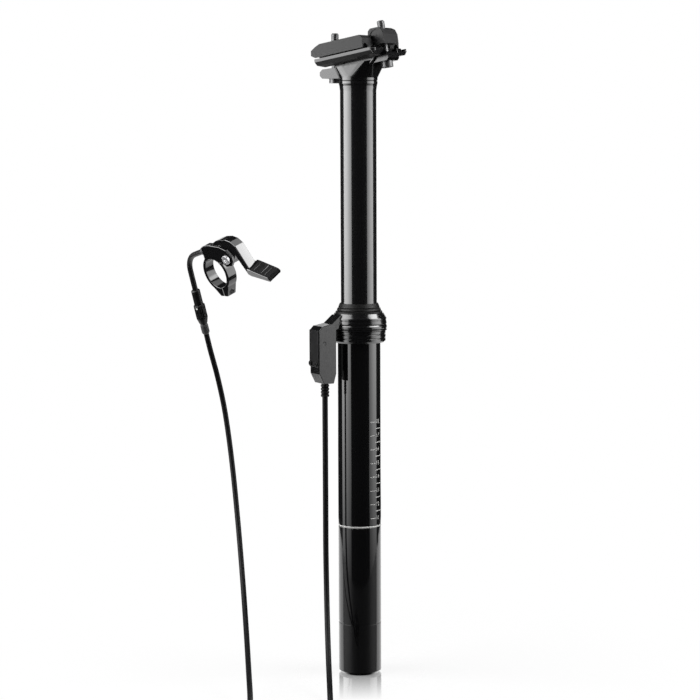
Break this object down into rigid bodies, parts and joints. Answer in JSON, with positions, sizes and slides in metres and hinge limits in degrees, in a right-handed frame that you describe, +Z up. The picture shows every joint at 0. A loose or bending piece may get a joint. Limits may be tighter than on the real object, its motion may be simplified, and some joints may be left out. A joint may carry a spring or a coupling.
{
  "type": "dropper seatpost",
  "caption": "Height adjustable bicycle seatpost with a two bolt saddle clamp, a cable actuator at its collar, and a thumb lever remote on the same cable.",
  "frame": {"origin": "centre of the tail cap's flat underside, on the post's axis", "axes": "+Z up along the post, +X towards the rear of the bicycle, +Y towards its right side"},
  "size_m": [0.187, 0.2078, 0.4701],
  "materials": {
    "gloss_black": "gloss black coating",
    "satin_black": "satin black anodised",
    "clamp_grey": "matte blasted grey",
    "bright_alloy": "turned",
    "sleeve_grey": "satin grey",
    "rubber_black": "matte",
    "steel": "turned and plated",
    "black_steel": "black coated",
    "brass": "machined",
    "bearing": "dry bearing liner",
    "cable_black": "extruded casing",
    "tie_black": "moulded"
  },
  "bodies": {
    "lower_post": {"outer_tube": "gloss_black", "tail_cap": "gloss_black", "rod_nut": "steel", "upper_bushing": "bearing", "collar_nut": "satin_black", "actuator_housing": "satin_black", "actuator_cover": "satin_black", "cover_screws": "black_steel", "wiper_seal": "rubber_black", "actuator_pin": "black_steel", "cable_boot": "rubber_black", "cartridge_rod": "steel", "piston": "bright_alloy", "remote_bracket": "satin_black", "clamp_band": "satin_black", "clamp_screw": "black_steel", "pivot_screw": "steel", "noodle": "black_steel", "noodle_ferrule": "sleeve_grey", "adjuster_stem": "satin_black", "cable_sleeve": "sleeve_grey", "cable_post_run": "cable_black", "cable_coil": "cable_black", "coil_tie": "tie_black", "cable_remote_run": "cable_black"},
    "upper_post": {"stanchion": "gloss_black", "head": "satin_black", "lower_bushing": "bearing", "guide_keys": "brass", "cartridge_tube": "bright_alloy", "seal_head": "bright_alloy", "rear_bolt": "steel", "rear_washer": "steel"},
    "saddle_clamp": {"lower_cradle": "satin_black", "upper_clamp": "clamp_grey"},
    "front_nut": {"front_nut": "black_steel"},
    "rear_nut": {"rear_nut": "black_steel"},
    "front_bolt": {"front_bolt": "steel", "front_washer": "steel"},
    "remote_lever": {"lever": "satin_black", "lever_bush": "brass", "anchor_screw": "steel"},
    "actuator_lever": {"actuator_lever": "steel"},
    "release_pin": {"release_pin": "brass"},
    "adjuster": {"adjuster_barrel": "satin_black"}
  },
  "joints": [
    {"name": "post_drop", "type": "slide", "parent": "lower_post", "child": "upper_post", "axis": [0, 0, 1], "range_m": [-0.125, 0], "stiffness_N_per_m": 20, "springref_m": 0.4},
    {"name": "saddle_tilt", "type": "hinge", "parent": "upper_post", "child": "saddle_clamp", "pos_m": [0, 0, 0.458], "axis": [0, 1, 0], "range_deg": [-5, 5]},
    {"name": "front_bolt_swing", "type": "hinge", "parent": "upper_post", "child": "front_bolt", "pos_m": [-0.0189, 0, 0.4297], "axis": [0, 1, 0], "range_deg": [-2.5, 2.5]},
    {"name": "front_nut_turn", "type": "hinge", "parent": "saddle_clamp", "child": "front_nut", "pos_m": [-0.0189, 0, 0.45], "axis": [0, 1, 0], "range_deg": [-8, 8]},
    {"name": "rear_nut_turn", "type": "hinge", "parent": "saddle_clamp", "child": "rear_nut", "pos_m": [0.02015, 0, 0.45891], "axis": [0, 1, 0], "range_deg": [-6, 6]},
    {"name": "lever_press", "type": "hinge", "parent": "lower_post", "child": "remote_lever", "pos_m": [-0.06949, -0.06034, 0.30425], "axis": [0.3039, 0.8827, 0.3584], "range_deg": [0, 20], "stiffness_Nm_per_rad": 0.15, "springref_deg": -11.46},
    {"name": "cable_arm", "type": "hinge", "parent": "lower_post", "child": "actuator_lever", "pos_m": [-0.0161, -0.02789, 0.243], "axis": [-0.866, 0.5, 0], "range_deg": [0, 31]},
    {"name": "release_push", "type": "slide", "parent": "lower_post", "child": "release_pin", "axis": [0, 0, -1], "range_m": [0, 0.0036]},
    {"name": "adjuster_turn", "type": "hinge", "parent": "lower_post", "child": "adjuster", "pos_m": [-0.11986, -0.02525, 0.26055], "axis": [-0.0006, -0.376, 0.9266], "continuous": true}
  ],
  "couplings": [
    {"joint": "front_bolt_swing", "follows": "saddle_tilt", "ratio": -0.394},
    {"joint": "front_nut_turn", "follows": "saddle_tilt", "ratio": -1.394},
    {"joint": "rear_nut_turn", "follows": "saddle_tilt", "ratio": -1},
    {"joint": "cable_arm", "follows": "lever_press", "ratio": 1.5},
    {"joint": "release_push", "follows": "lever_press", "m_per_rad": 0.00974}
  ]
}
